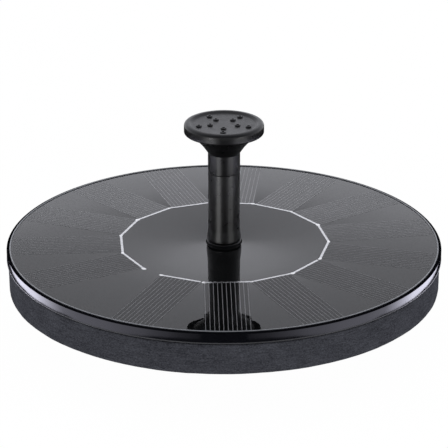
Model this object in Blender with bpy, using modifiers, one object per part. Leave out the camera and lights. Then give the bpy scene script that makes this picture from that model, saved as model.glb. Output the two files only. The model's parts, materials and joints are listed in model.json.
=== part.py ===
"""Floating solar fountain pump.

A round solar panel in a shallow tray sits on a foam float ring. A small pump with a horizontal
motor hangs under the middle of the tray, and its upright outlet passes through the panel into a
riser tube, a trumpet and a spray disc.

Lengths below are in millimetres and become metres where a mesh is made. The origin is the middle
of the disc, at the level of the pump's underside. +Z is up, and the filter faces -Y.
"""
import math

import bmesh
import bpy
from mathutils import Matrix, Vector

MM = 0.001
MERGE = 0.00001
GAP = 0.3

# Driving dimensions.
DISC_RADIUS = 80.0
PANEL_TOP = 32.0
RIM_DEPTH = 4.2
FLOAT_BOTTOM = 16.0
RISER_RADIUS = 5.8
FOOT_RADIUS = 6.2
HEAD_RADIUS = 14.5
CELL_COUNT = 14
CELL_PITCH = math.radians(24.8)
GAP_ANGLE = math.radians(228.5)
RIBBON_RADIUS = 38.6

# Panel stack, from the tray floor up.
TRAY_BOTTOM = PANEL_TOP - RIM_DEPTH
TRAY_FLOOR = TRAY_BOTTOM + 1.1
BOARD_BOTTOM = TRAY_FLOOR + 0.2
BOARD_TOP = BOARD_BOTTOM + 1.6
CELL_BOTTOM = BOARD_TOP + 0.1
CELL_THICKNESS = 0.3
CELL_TURN = math.radians(-1.0)
RIBBON_BOTTOM = CELL_BOTTOM + CELL_THICKNESS + 0.1
RIBBON_THICKNESS = 0.2
COVER_BOTTOM = RIBBON_BOTTOM + RIBBON_THICKNESS + 0.2
RIM_WALL = 1.05
COVER_RADIUS = DISC_RADIUS - RIM_WALL - 0.2
CENTRE_HOLE = 6.6
CELL_INNER = RIBBON_RADIUS * math.cos(CELL_PITCH / 2) - 0.7
CELL_WIDTH = 2 * CELL_INNER * math.tan(CELL_PITCH / 2) - GAP
CELL_REACH = COVER_RADIUS - 0.9

# Float ring and the pump bay inside it.
FLOAT_RADIUS = DISC_RADIUS - 0.5
FLOAT_HOLE = 46.0
SKIRT_DEPTH = 6.0

# Pump body: a rounded square section around the motor axis, which runs along Y.
AXIS_X = -7.0
BODY_WIDTH = 30.0
BODY_HEIGHT = 26.4
AXIS_Z = BODY_HEIGHT / 2
BODY_CORNER = 5.0
HEAD_FRONT = -5.5
HEAD_BACK = 5.5
CHAMBER_RADIUS = 10.2
CHAMBER_BACK = 3.2
COVER_PLATE = 1.6
PLATE_BACK = HEAD_FRONT - GAP
PLATE_FRONT = PLATE_BACK - COVER_PLATE
CAN_FLANGE_FRONT = HEAD_BACK + GAP
CAN_FLANGE_BACK = CAN_FLANGE_FRONT + 1.0
CAN_END = 19.0
HOUSING_FRONT = HEAD_BACK + GAP
HOUSING_BACK = 24.0
CAP_FRONT = HOUSING_BACK + GAP
CAP_BACK = CAP_FRONT + 2.2
FILTER_FRONT = -21.5
FILTER_BACK = PLATE_FRONT - GAP
FILTER_WALL = 1.3

# Wet passage, spigot and fittings above the panel.
BORE_RADIUS = 3.1
COLLAR_RADIUS = 6.25
COLLAR_TOP = PANEL_TOP + 0.5
SPIGOT_RADIUS = 4.45
SPIGOT_TOP = PANEL_TOP + 13.4
RISER_BOTTOM = COLLAR_TOP + GAP
RISER_TOP = 59.2
NECK_RADIUS = 4.3
NECK_TOP = RISER_TOP + 12.3
SOCKET_RADIUS = SPIGOT_RADIUS + GAP
TRUMPET_BOTTOM = RISER_TOP + GAP
STEM_RADIUS = 5.8
STEM_TOP = 66.9
HEAD_BOTTOM = 74.3
HEAD_TOP = 78.3
MOUTH_TOP = HEAD_BOTTOM + 2.0
MOUTH_RADIUS = 13.1
OUTER_JETS = 9.4
INNER_JETS = 5.2
JETS_PER_RING = 5
JET_ANGLE = math.radians(268.0)
JET_HOLE = 0.55

# Motor.
ROTOR_RADIUS = 5.4
SHAFT_RADIUS = 1.0
SHAFT_FRONT = -9.3
SHAFT_BACK = 18.3
RUNNING_BORE = SHAFT_RADIUS + 0.1
CAN_INNER = 5.9
CAN_OUTER = 6.6
STATOR_OUTER = 12.1
STATOR_INNER = 9.9
STATOR_FRONT = 9.0
STATOR_BACK = 16.0
TOOTH_REACH = CAN_OUTER + GAP
TOOTH_WIDTH = 3.6
COIL_COUNT = 4
BOARD_FRONT = 20.0
BOARD_BACK = 21.2

# Mounting screws and leads.
SCREW_OFFSET = 18.6
SCREW_ROWS = (0.0, 19.0)
BOSS_RADIUS = 3.0
EAR_TOP = 21.7
EAR_THICKNESS = 2.2
SCREW_SHANK = 1.2
SCREW_HOLE = SCREW_SHANK + GAP
LEAD_RADIUS = 0.6
LEAD_OFFSET = 1.2
LEAD_EXIT_Y = 37.0
LEAD_HEIGHT = 19.0

RING_STEPS = 72
TUBE_STEPS = 36
SMALL_STEPS = 20


def start_empty():
    """Remove what the file holds and make the two collections."""
    for item in list(bpy.data.objects):
        bpy.data.objects.remove(item, do_unlink=True)
    folders = []
    for name in ("floating_fountain_pump", "cutters"):
        folder = bpy.data.collections.new(name)
        bpy.context.scene.collection.children.link(folder)
        folders.append(folder)
    return folders


PARTS, CUTTERS = start_empty()


# Materials -------------------------------------------------------------------

def material(name, colour, roughness, metallic=0.0, alpha=1.0):
    """A Principled material with one colour."""
    made = bpy.data.materials.new(name)
    made.use_nodes = True
    shader = made.node_tree.nodes["Principled BSDF"]
    shader.inputs["Base Color"].default_value = (*colour, 1.0)
    shader.inputs["Roughness"].default_value = roughness
    shader.inputs["Metallic"].default_value = metallic
    shader.inputs["Alpha"].default_value = alpha
    return made


CLEAR = material("clear_cover", (0.60, 0.62, 0.66), 0.05, alpha=0.35)
SILICON = material("silicon", (0.010, 0.011, 0.016), 0.35)
TINNED = material("tinned_ribbon", (0.80, 0.81, 0.82), 0.30, 1.0)
BOARD = material("backing_board", (0.012, 0.012, 0.014), 0.60)
GLOSS_BLACK = material("gloss_black", (0.010, 0.010, 0.012), 0.15)
SATIN_BLACK = material("satin_black", (0.018, 0.018, 0.020), 0.40)
MATTE_BLACK = material("matte_black", (0.025, 0.025, 0.027), 0.55)
FOAM = material("float_foam", (0.045, 0.046, 0.050), 0.90)
SPONGE = material("filter_sponge", (0.030, 0.031, 0.034), 0.95)
RUBBER = material("rubber", (0.020, 0.020, 0.020), 0.70)
MAGNET = material("ferrite", (0.060, 0.058, 0.055), 0.45, 0.3)
CERAMIC = material("ceramic", (0.85, 0.84, 0.80), 0.25)
STEEL = material("steel", (0.60, 0.60, 0.61), 0.30, 1.0)
LAMINATION = material("laminated_steel", (0.35, 0.35, 0.36), 0.45, 1.0)
COPPER = material("copper_wire", (0.62, 0.28, 0.13), 0.35, 1.0)
CIRCUIT = material("circuit_board", (0.02, 0.16, 0.06), 0.50)
CHIP = material("chip", (0.015, 0.015, 0.015), 0.50)
RED_WIRE = material("red_insulation", (0.50, 0.02, 0.02), 0.45)
BLACK_WIRE = material("black_insulation", (0.02, 0.02, 0.02), 0.45)


# Building blocks -------------------------------------------------------------

def add_object(name, data, surface, place=(0.0, 0.0, 0.0)):
    """Link an object made from data into the parts collection."""
    made = bpy.data.objects.new(name, data)
    made.location = Vector(place) * MM
    if surface is not None:
        data.materials.append(surface)
    PARTS.objects.link(made)
    return made


def smooth(part, degrees=40.0):
    """Shade a mesh smooth, with edges over the angle left sharp."""
    part.data.shade_smooth()
    part.data.set_sharp_from_angle(angle=math.radians(degrees))
    return part


def as_cutter(part):
    """Turn an object into a hidden tool for a Boolean."""
    PARTS.objects.unlink(part)
    CUTTERS.objects.link(part)
    part.hide_render = True
    part.display_type = "WIRE"
    return part


def combine(part, tool, operation):
    """Add one Boolean modifier that uses a hidden tool object."""
    modifier = part.modifiers.new(operation.lower(), "BOOLEAN")
    modifier.operation = operation
    modifier.object = as_cutter(tool)
    return part


def cut(part, tool):
    return combine(part, tool, "DIFFERENCE")


def join(part, tool):
    return combine(part, tool, "UNION")


def turned(name, surface, profile, steps=TUBE_STEPS, place=(0.0, 0.0, 0.0), along="Z"):
    """Spin a profile of (radius, height) points, outer side first and from its top down.

    A profile that starts and ends on the axis stays open there, and any other one is closed.
    With along="Y", height runs along +Y.
    """
    points = [(radius * MM, 0.0, height * MM) for radius, height in profile]
    edges = [(i, i + 1) for i in range(len(points) - 1)]
    if profile[0][0] > 0.0:
        edges.append((len(points) - 1, 0))
    mesh = bpy.data.meshes.new(name)
    mesh.from_pydata(points, edges, [])
    part = add_object(name, mesh, surface, place)
    if along == "Y":
        part.rotation_euler.x = -math.pi / 2
    screw = part.modifiers.new("spin", "SCREW")
    screw.steps = steps
    screw.render_steps = steps
    screw.use_merge_vertices = True
    screw.merge_threshold = MERGE
    screw.use_smooth_shade = False
    return part


def drum(name, surface, radius, low, high, steps=TUBE_STEPS, place=(0.0, 0.0, 0.0), along="Z"):
    """A plain closed cylinder between two heights."""
    mesh = bpy.data.meshes.new(name)
    shape = bmesh.new()
    middle = Matrix.Translation((0.0, 0.0, (low + high) / 2 * MM))
    bmesh.ops.create_cone(shape, cap_ends=True, segments=steps, radius1=radius * MM,
                          radius2=radius * MM, depth=(high - low) * MM, matrix=middle)
    shape.to_mesh(mesh)
    shape.free()
    part = add_object(name, mesh, surface, place)
    if along == "Y":
        part.rotation_euler.x = -math.pi / 2
    return part


def block(name, surface, low, high, corner=0.0, along="Y", segments=4, place=(0.0, 0.0, 0.0)):
    """A box between two corners, with the four edges that run along one axis rounded."""
    low_corner = Vector(low)
    high_corner = Vector(high)
    axis = "XYZ".index(along)
    mesh = bpy.data.meshes.new(name)
    shape = bmesh.new()
    bmesh.ops.create_cube(shape, size=1.0)
    bmesh.ops.scale(shape, vec=(high_corner - low_corner) * MM, verts=shape.verts)
    bmesh.ops.translate(shape, vec=(high_corner + low_corner) / 2 * MM, verts=shape.verts)
    if corner:
        long_edges = [edge for edge in shape.edges
                      if abs((edge.verts[1].co - edge.verts[0].co).normalized()[axis]) > 0.99]
        bmesh.ops.bevel(shape, geom=long_edges, offset=corner * MM, segments=segments,
                        profile=0.5, affect="EDGES")
    shape.to_mesh(mesh)
    shape.free()
    return add_object(name, mesh, surface, place)


def several(name, pieces):
    """Join separate closed tools into one object, so that one Boolean uses them all."""
    shape = bmesh.new()
    for piece in pieces:
        copy = piece.data.copy()
        copy.transform(piece.matrix_basis)
        shape.from_mesh(copy)
        bpy.data.meshes.remove(copy)
        bpy.data.objects.remove(piece, do_unlink=True)
    mesh = bpy.data.meshes.new(name)
    shape.to_mesh(mesh)
    shape.free()
    return add_object(name, mesh, None)


def body_block(name, surface, front, back, inset=0.0):
    """A slice of the pump's rounded square section, between two Y planes."""
    half = BODY_WIDTH / 2 - inset
    low = (AXIS_X - half, front, inset)
    high = (AXIS_X + half, back, BODY_HEIGHT - inset)
    return block(name, surface, low, high, BODY_CORNER - inset)


def on_axis(part, tool_name, low, high, radius, steps=TUBE_STEPS):
    """Cut a hole along the motor axis."""
    tool = drum(tool_name, None, radius, low, high, steps, (AXIS_X, 0.0, AXIS_Z), "Y")
    return cut(part, tool)


# Panel -----------------------------------------------------------------------

def screw_places():
    """Where the four mounting screws stand, seen from above."""
    return [(AXIS_X + side * SCREW_OFFSET, row) for row in SCREW_ROWS for side in (-1, 1)]


def deck_tray():
    """Tray with its rim wall, the skirt round the pump bay, and four screw bosses."""
    inner = DISC_RADIUS - RIM_WALL
    skirt_outer = FLOAT_HOLE - 0.8
    skirt_inner = skirt_outer - 1.2
    skirt_bottom = TRAY_BOTTOM - SKIRT_DEPTH
    profile = [
        (inner, PANEL_TOP - 0.1),
        (inner + 0.35, PANEL_TOP),
        (DISC_RADIUS - 0.35, PANEL_TOP),
        (DISC_RADIUS, PANEL_TOP - 0.35),
        (DISC_RADIUS, TRAY_BOTTOM + 0.3),
        (DISC_RADIUS - 0.5, TRAY_BOTTOM),
        (skirt_outer, TRAY_BOTTOM),
        (skirt_outer, skirt_bottom),
        (skirt_inner, skirt_bottom),
        (skirt_inner, TRAY_BOTTOM),
        (CENTRE_HOLE, TRAY_BOTTOM),
        (CENTRE_HOLE, TRAY_FLOOR),
        (inner, TRAY_FLOOR),
    ]
    tray = turned("deck_tray", GLOSS_BLACK, profile, RING_STEPS)
    bosses = [drum("boss", None, BOSS_RADIUS, EAR_TOP + GAP, TRAY_BOTTOM + 0.5, SMALL_STEPS, (x, y, 0))
              for x, y in screw_places()]
    join(tray, several("bosses", bosses))
    holes = [drum("hole", None, SCREW_HOLE, EAR_TOP - 1.0, TRAY_BOTTOM - 0.6, SMALL_STEPS, (x, y, 0))
             for x, y in screw_places()]
    holes.append(drum("lead_hole", None, 2.8, TRAY_BOTTOM - 1, TRAY_FLOOR + 1, SMALL_STEPS,
                      (AXIS_X, LEAD_EXIT_Y, 0)))
    return cut(tray, several("tray_holes", holes))


def panel_cover():
    """Clear disc over the cells, with a chamfered outer edge."""
    profile = [
        (CENTRE_HOLE, PANEL_TOP),
        (COVER_RADIUS - 0.4, PANEL_TOP),
        (COVER_RADIUS, PANEL_TOP - 0.4),
        (COVER_RADIUS, COVER_BOTTOM),
        (CENTRE_HOLE, COVER_BOTTOM),
    ]
    return turned("panel_cover", CLEAR, profile, RING_STEPS)


def backing_board():
    """Rigid board that carries the cells."""
    profile = [
        (COVER_RADIUS, BOARD_TOP),
        (COVER_RADIUS, BOARD_BOTTOM),
        (CENTRE_HOLE, BOARD_BOTTOM),
        (CENTRE_HOLE, BOARD_TOP),
    ]
    return turned("backing_board", BOARD, profile, RING_STEPS)


def cell_angle(index):
    """Direction of a cell's middle line."""
    return GAP_ANGLE + math.pi + (index - (CELL_COUNT - 1) / 2) * CELL_PITCH


def solar_cells():
    """Fourteen straight cells that point outward from the ribbon ring."""
    outer = math.sqrt(CELL_REACH ** 2 - (CELL_WIDTH / 2) ** 2)
    for index in range(CELL_COUNT):
        low = (CELL_INNER, -CELL_WIDTH / 2, CELL_BOTTOM)
        high = (outer, CELL_WIDTH / 2, CELL_BOTTOM + CELL_THICKNESS)
        cell = block(f"solar_cell_{index + 1:02d}", SILICON, low, high)
        cell.rotation_euler.z = cell_angle(index) + CELL_TURN


def cell_ribbon():
    """Flat ribbon that links the cells: straight from vertex to vertex, open at one gap."""
    vertices = [cell_angle(0) + (index - 0.5) * CELL_PITCH for index in range(CELL_COUNT + 1)]
    half_width = 0.5
    outer = [(RIBBON_RADIUS + half_width, angle) for angle in vertices]
    inner = [(RIBBON_RADIUS - half_width, angle) for angle in reversed(vertices)]
    outline = [(radius * math.cos(angle), radius * math.sin(angle)) for radius, angle in outer + inner]
    curve = bpy.data.curves.new("cell_ribbon", "CURVE")
    curve.dimensions = "2D"
    curve.fill_mode = "BOTH"
    curve.extrude = RIBBON_THICKNESS / 2 * MM
    path = curve.splines.new("POLY")
    path.points.add(len(outline) - 1)
    for point, (x, y) in zip(path.points, outline):
        point.co = (x * MM, y * MM, 0.0, 1.0)
    path.use_cyclic_u = True
    ribbon = add_object("cell_ribbon", curve, TINNED, (0, 0, RIBBON_BOTTOM + RIBBON_THICKNESS / 2))
    weld = ribbon.modifiers.new("weld", "WELD")
    weld.merge_threshold = MERGE
    return ribbon


def float_ring():
    """Foam ring that carries the panel, with its edges eased."""
    top = TRAY_BOTTOM - GAP
    ease = 0.6
    profile = [
        (FLOAT_RADIUS - ease, top),
        (FLOAT_RADIUS, top - ease),
        (FLOAT_RADIUS, FLOAT_BOTTOM + ease),
        (FLOAT_RADIUS - ease, FLOAT_BOTTOM),
        (FLOAT_HOLE + ease, FLOAT_BOTTOM),
        (FLOAT_HOLE, FLOAT_BOTTOM + ease),
        (FLOAT_HOLE, top),
    ]
    return turned("float_ring", FOAM, profile, RING_STEPS)


# Pump head -------------------------------------------------------------------

def ears(rows):
    """Lugs on both sides of the body that the mounting screws pass through."""
    bottom = EAR_TOP - EAR_THICKNESS
    lugs = []
    for row in rows:
        reach = SCREW_OFFSET + BOSS_RADIUS
        low = (AXIS_X - reach, row - BOSS_RADIUS, bottom)
        high = (AXIS_X + reach, row + BOSS_RADIUS, EAR_TOP)
        lugs.append(block("ear", None, low, high, BOSS_RADIUS - 0.4, "Z"))
    return several("ears", lugs)


def ear_holes(row):
    """Clearance holes for the screws of one row."""
    bottom = EAR_TOP - EAR_THICKNESS
    holes = [drum("ear_hole", None, SCREW_HOLE, bottom - 1, EAR_TOP + 1, SMALL_STEPS, (x, y, 0))
             for x, y in screw_places() if y == row]
    return several("ear_holes", holes)


def pump_head():
    """Volute block with the chamber, the tangential outlet and the upright spigot."""
    head = body_block("pump_head", SATIN_BLACK, HEAD_FRONT, HEAD_BACK)
    join(head, ears(SCREW_ROWS[:1]))
    spigot = turned("spigot", None, [
        (0.0, SPIGOT_TOP),
        (SPIGOT_RADIUS - 0.5, SPIGOT_TOP),
        (SPIGOT_RADIUS, SPIGOT_TOP - 0.8),
        (SPIGOT_RADIUS, COLLAR_TOP),
        (COLLAR_RADIUS - 0.2, COLLAR_TOP),
        (COLLAR_RADIUS, COLLAR_TOP - 0.2),
        (COLLAR_RADIUS, BODY_HEIGHT + 1.0),
        (HEAD_BACK - 0.4, BODY_HEIGHT - 0.2),
        (HEAD_BACK - 0.4, BODY_HEIGHT - 2.0),
        (0.0, BODY_HEIGHT - 2.0),
    ])
    join(head, spigot)
    cut(head, ear_holes(SCREW_ROWS[0]))
    on_axis(head, "chamber_tool", HEAD_FRONT - 1, CHAMBER_BACK, CHAMBER_RADIUS)
    on_axis(head, "rotor_hole_tool", 0.0, HEAD_BACK + 1, CAN_INNER)
    groove = turned("groove_tool", None, [
        (12.3, HEAD_FRONT + 1.3),
        (12.3, HEAD_FRONT - 1.0),
        (10.8, HEAD_FRONT - 1.0),
        (10.8, HEAD_FRONT + 1.3),
    ], TUBE_STEPS, (AXIS_X, 0.0, AXIS_Z), "Y")
    cut(head, groove)
    return cut(head, drum("bore_tool", None, BORE_RADIUS, AXIS_Z + 2, SPIGOT_TOP + 1))


def chamber_cover():
    """Front plate with the inlet eye and three spokes to the front bush."""
    plate = body_block("chamber_cover", SATIN_BLACK, PLATE_FRONT, PLATE_BACK, 0.4)
    on_axis(plate, "eye_tool", PLATE_FRONT - 1, PLATE_BACK + 1, 5.0)
    spokes = [drum("hub", None, 2.7, PLATE_FRONT - 1.6, PLATE_BACK - 0.3, SMALL_STEPS,
                   (AXIS_X, 0, AXIS_Z), "Y")]
    join(plate, spokes[0])
    for index in range(3):
        spoke = block("spoke", None, (2.0, PLATE_FRONT + 0.2, -0.6), (5.6, PLATE_BACK - 0.3, 0.6))
        spoke.location = Vector((AXIS_X, 0.0, AXIS_Z)) * MM
        spoke.rotation_euler.y = math.tau * index / 3 + math.pi / 2
        join(plate, spoke)
    return on_axis(plate, "bush_seat_tool", PLATE_FRONT - 3, PLATE_BACK + 1, 1.85, SMALL_STEPS)


def chamber_o_ring():
    """Round seal in the groove of the pump head."""
    section = [(11.55 + 0.5 * math.cos(turn), 0.5 * math.sin(turn))
               for turn in (-math.tau * step / 8 for step in range(8))]
    return turned("chamber_o_ring", RUBBER, section, TUBE_STEPS, (AXIS_X, HEAD_FRONT + 0.6, AXIS_Z), "Y")


def filter_cover():
    """Slotted cup that pulls off the front of the pump."""
    cover = body_block("filter_cover", SATIN_BLACK, FILTER_FRONT, FILTER_BACK)
    inside = body_block("filter_inside", None, FILTER_FRONT + FILTER_WALL, FILTER_BACK + 1, FILTER_WALL)
    cut(cover, inside)
    slots = []
    for index in range(6):
        x = AXIS_X + (index - 2.5) * 3.8
        slots.append(block("slot", None, (x - 0.8, FILTER_FRONT - 1, AXIS_Z - 8.5),
                           (x + 0.8, FILTER_FRONT + FILTER_WALL + 1, AXIS_Z + 8.5)))
    for index in range(3):
        y = FILTER_FRONT + 3.6 + index * 3.2
        slots.append(block("side_slot", None, (AXIS_X - BODY_WIDTH, y - 0.7, AXIS_Z - 7),
                           (AXIS_X + BODY_WIDTH, y + 0.7, AXIS_Z + 7)))
    return cut(cover, several("filter_slots", slots))


def filter_sponge():
    """Coarse sponge block inside the filter cover."""
    half = BODY_WIDTH / 2 - FILTER_WALL - 0.6
    low = (AXIS_X - half, FILTER_FRONT + FILTER_WALL + 0.6, FILTER_WALL + 0.6)
    high = (AXIS_X + half, FILTER_BACK - 2.2, BODY_HEIGHT - FILTER_WALL - 0.6)
    return block("filter_sponge", SPONGE, low, high, 3.4)


# Motor -----------------------------------------------------------------------

MOTOR = (AXIS_X, 0.0, AXIS_Z)


def motor_housing():
    """Block with the stator bore, and the rear pair of screw ears."""
    housing = body_block("motor_housing", SATIN_BLACK, HOUSING_FRONT, HOUSING_BACK)
    join(housing, ears(SCREW_ROWS[1:]))
    cut(housing, ear_holes(SCREW_ROWS[1]))
    return on_axis(housing, "stator_bore_tool", HOUSING_FRONT - 1, HOUSING_BACK + 1, STATOR_OUTER + GAP)


def rear_cap():
    """Plate that closes the motor housing, with a hole for each lead."""
    cap = body_block("rear_cap", SATIN_BLACK, CAP_FRONT, CAP_BACK)
    holes = [drum("lead_way", None, LEAD_RADIUS + GAP, CAP_FRONT - 1, CAP_BACK + 1, 12,
                  (AXIS_X + side * LEAD_OFFSET, 0, LEAD_HEIGHT), "Y") for side in (-1, 1)]
    return cut(cap, several("lead_ways", holes))


def rotor_can():
    """Thin cup between the wet rotor and the dry coils."""
    return turned("rotor_can", MATTE_BLACK, [
        (0.0, CAN_END),
        (CAN_OUTER, CAN_END),
        (CAN_OUTER, CAN_FLANGE_BACK),
        (11.5, CAN_FLANGE_BACK),
        (11.5, CAN_FLANGE_FRONT),
        (CAN_INNER, CAN_FLANGE_FRONT),
        (CAN_INNER, CAN_END - 0.7),
        (2.3, CAN_END - 0.7),
        (2.3, CAN_END - 2.4),
        (1.75, CAN_END - 2.4),
        (1.75, CAN_END - 0.6),
        (0.0, CAN_END - 0.6),
    ], TUBE_STEPS, MOTOR, "Y")


def stator_core():
    """Laminated ring with four teeth that point at the rotor."""
    core = turned("stator_core", LAMINATION, [
        (STATOR_OUTER, STATOR_BACK),
        (STATOR_OUTER, STATOR_FRONT),
        (STATOR_INNER, STATOR_FRONT),
        (STATOR_INNER, STATOR_BACK),
    ], TUBE_STEPS, MOTOR, "Y")
    for index in range(COIL_COUNT):
        tooth = block("tooth", None, (TOOTH_REACH, STATOR_FRONT, -TOOTH_WIDTH / 2),
                      (STATOR_INNER + 1.0, STATOR_BACK, TOOTH_WIDTH / 2))
        tooth.location = Vector(MOTOR) * MM
        tooth.rotation_euler.y = math.tau * index / COIL_COUNT + math.pi / 4
        join(core, tooth)
    return core


def stator_coils():
    """One wound coil round each tooth."""
    near = TOOTH_REACH + 0.4
    far = STATOR_INNER - 0.9
    for index in range(COIL_COUNT):
        coil = block(f"stator_coil_{index + 1}", COPPER, (near, STATOR_FRONT - 1.5, -3.6),
                     (far, STATOR_BACK + 1.5, 3.6), 1.2, "X", 3)
        window = block("coil_window", None, (near - 1, STATOR_FRONT - GAP, -TOOTH_WIDTH / 2 - GAP),
                       (far + 1, STATOR_BACK + GAP, TOOTH_WIDTH / 2 + GAP))
        turn = math.tau * index / COIL_COUNT + math.pi / 4
        for piece in (coil, window):
            piece.location = Vector(MOTOR) * MM
            piece.rotation_euler.y = turn
        cut(coil, window)


def electronics():
    """Driver board with the Hall sensor in front and the driver chip behind."""
    drum("driver_board", CIRCUIT, 11.6, BOARD_FRONT, BOARD_BACK, TUBE_STEPS, MOTOR, "Y")
    block("driver_chip", CHIP, (AXIS_X - 2.5, BOARD_BACK + 0.2, 6.0), (AXIS_X + 2.5, BOARD_BACK + 1.7, 10.0))
    block("hall_sensor", CHIP, (AXIS_X + 7.4, BOARD_FRONT - 1.6, AXIS_Z - 2.0),
          (AXIS_X + 10.4, BOARD_FRONT - 0.2, AXIS_Z + 2.0))


def sleeve(name, surface, outer, inner, low, high, steps=SMALL_STEPS):
    """A plain tube on the motor axis."""
    profile = [(outer, high), (outer, low), (inner, low), (inner, high)]
    return turned(name, surface, profile, steps, MOTOR, "Y")


def shaft_and_bushes():
    """Fixed ceramic shaft and the two rubber bushes that hold its ends."""
    turned("shaft", CERAMIC, [
        (0.0, SHAFT_BACK),
        (SHAFT_RADIUS - 0.2, SHAFT_BACK),
        (SHAFT_RADIUS, SHAFT_BACK - 0.2),
        (SHAFT_RADIUS, SHAFT_FRONT + 0.2),
        (SHAFT_RADIUS - 0.2, SHAFT_FRONT),
        (0.0, SHAFT_FRONT),
    ], SMALL_STEPS, MOTOR, "Y")
    sleeve("front_bush", RUBBER, 1.8, SHAFT_RADIUS + 0.05, PLATE_FRONT - 1.5, PLATE_BACK - 0.4)
    sleeve("rear_bush", RUBBER, 1.7, SHAFT_RADIUS + 0.05, CAN_END - 2.4, CAN_END - 0.8)


def rotor():
    """Magnet, thrust washer and impeller, which spin on the shaft."""
    sleeve("rotor_magnet", MAGNET, ROTOR_RADIUS, RUNNING_BORE, CHAMBER_BACK - 0.1, 15.2, TUBE_STEPS)
    sleeve("thrust_washer", CERAMIC, 2.2, RUNNING_BORE, 15.5, 16.2)
    impeller = sleeve("impeller", SATIN_BLACK, 8.6, RUNNING_BORE, 1.6, 2.7, TUBE_STEPS)
    hub = sleeve("impeller_hub", None, 2.3, RUNNING_BORE, PLATE_BACK + 0.5, 2.0)
    join(impeller, hub)
    for index in range(6):
        blade = block("blade", None, (1.9, HEAD_FRONT + 0.9, -0.45), (8.4, 2.0, 0.45))
        blade.location = Vector(MOTOR) * MM
        blade.rotation_euler.y = math.tau * index / 6
        join(impeller, blade)


# Fasteners and leads ---------------------------------------------------------

def mount_screws():
    """Pan-head screws that hold the pump under the tray."""
    seat = EAR_TOP - EAR_THICKNESS - GAP
    for index, (x, y) in enumerate(screw_places()):
        turned(f"mount_screw_{index + 1}", STEEL, [
            (0.0, TRAY_BOTTOM - 1.4),
            (SCREW_SHANK * 0.5, TRAY_BOTTOM - 1.6),
            (SCREW_SHANK, TRAY_BOTTOM - 2.6),
            (SCREW_SHANK, seat),
            (2.6, seat),
            (2.6, seat - 0.9),
            (1.7, seat - 1.7),
            (0.0, seat - 1.7),
        ], 16, (x, y, 0))


def lead_route(side):
    """Points along one lead, from the driver board up to the backing board."""
    x = AXIS_X + side * LEAD_OFFSET
    bend = 4.5
    start_y = BOARD_BACK + 0.5
    centre_y = LEAD_EXIT_Y - bend
    points = [(x, start_y, LEAD_HEIGHT), (x, CAP_BACK + 1.0, LEAD_HEIGHT)]
    for step in range(7):
        turn = math.pi / 2 * step / 6
        points.append((x, centre_y + bend * math.sin(turn), LEAD_HEIGHT + bend * (1 - math.cos(turn))))
    points.append((x, LEAD_EXIT_Y, BOARD_BOTTOM - GAP))
    return points


def lead(name, surface, side):
    """One insulated lead as a round wire."""
    route = lead_route(side)
    curve = bpy.data.curves.new(name, "CURVE")
    curve.dimensions = "3D"
    curve.bevel_depth = LEAD_RADIUS * MM
    curve.bevel_resolution = 2
    curve.use_fill_caps = True
    path = curve.splines.new("POLY")
    path.points.add(len(route) - 1)
    for point, place in zip(path.points, route):
        point.co = (*(Vector(place) * MM), 1.0)
    return add_object(name, curve, surface)


def lead_grommet():
    """Rubber grommet where the leads pass the tray floor."""
    low = TRAY_BOTTOM - GAP
    grommet = turned("lead_grommet", RUBBER, [
        (0.0, TRAY_FLOOR - 0.1),
        (2.5, TRAY_FLOOR - 0.1),
        (2.5, low),
        (3.8, low),
        (3.8, low - 0.8),
        (0.0, low - 0.8),
    ], SMALL_STEPS, (AXIS_X, LEAD_EXIT_Y, 0))
    holes = [drum("wire_hole", None, LEAD_RADIUS + 0.15, low - 2, TRAY_FLOOR + 1, 12,
                  (AXIS_X + side * LEAD_OFFSET, LEAD_EXIT_Y, 0)) for side in (-1, 1)]
    return cut(grommet, several("wire_holes", holes))


# Fittings above the panel ----------------------------------------------------

def riser_tube():
    """Extension tube: a slightly flared foot, a socket over the spigot, a bore and a neck."""
    return turned("riser_tube", SATIN_BLACK, [
        (NECK_RADIUS - 0.3, NECK_TOP),
        (NECK_RADIUS, NECK_TOP - 0.6),
        (NECK_RADIUS, RISER_TOP),
        (RISER_RADIUS - 0.3, RISER_TOP),
        (RISER_RADIUS - 0.05, RISER_TOP - 0.3),
        (RISER_RADIUS, RISER_BOTTOM + 4.5),
        (FOOT_RADIUS, RISER_BOTTOM + 1.2),
        (FOOT_RADIUS, RISER_BOTTOM + 0.3),
        (FOOT_RADIUS - 0.3, RISER_BOTTOM),
        (SOCKET_RADIUS, RISER_BOTTOM),
        (SOCKET_RADIUS, SPIGOT_TOP + 0.4),
        (BORE_RADIUS, SPIGOT_TOP + 2.0),
        (BORE_RADIUS, NECK_TOP),
    ])


def nozzle_trumpet():
    """Short stem over the riser's neck, widening into a cone up to its mouth."""
    wall = 1.1
    sleeve_radius = NECK_RADIUS + GAP
    return turned("nozzle_trumpet", SATIN_BLACK, [
        (MOUTH_RADIUS - wall - 0.2, MOUTH_TOP),
        (MOUTH_RADIUS - 0.2, MOUTH_TOP),
        (MOUTH_RADIUS, MOUTH_TOP - 0.4),
        (MOUTH_RADIUS - 0.5, MOUTH_TOP - 1.0),
        (8.0, STEM_TOP + 3.0),
        (STEM_RADIUS + 0.5, STEM_TOP + 0.6),
        (STEM_RADIUS, STEM_TOP - 0.3),
        (STEM_RADIUS, TRUMPET_BOTTOM + 0.3),
        (STEM_RADIUS - 0.3, TRUMPET_BOTTOM),
        (sleeve_radius, TRUMPET_BOTTOM),
        (sleeve_radius, STEM_TOP + 0.6),
        (8.0 - wall, STEM_TOP + 3.4),
    ], 48)


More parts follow.
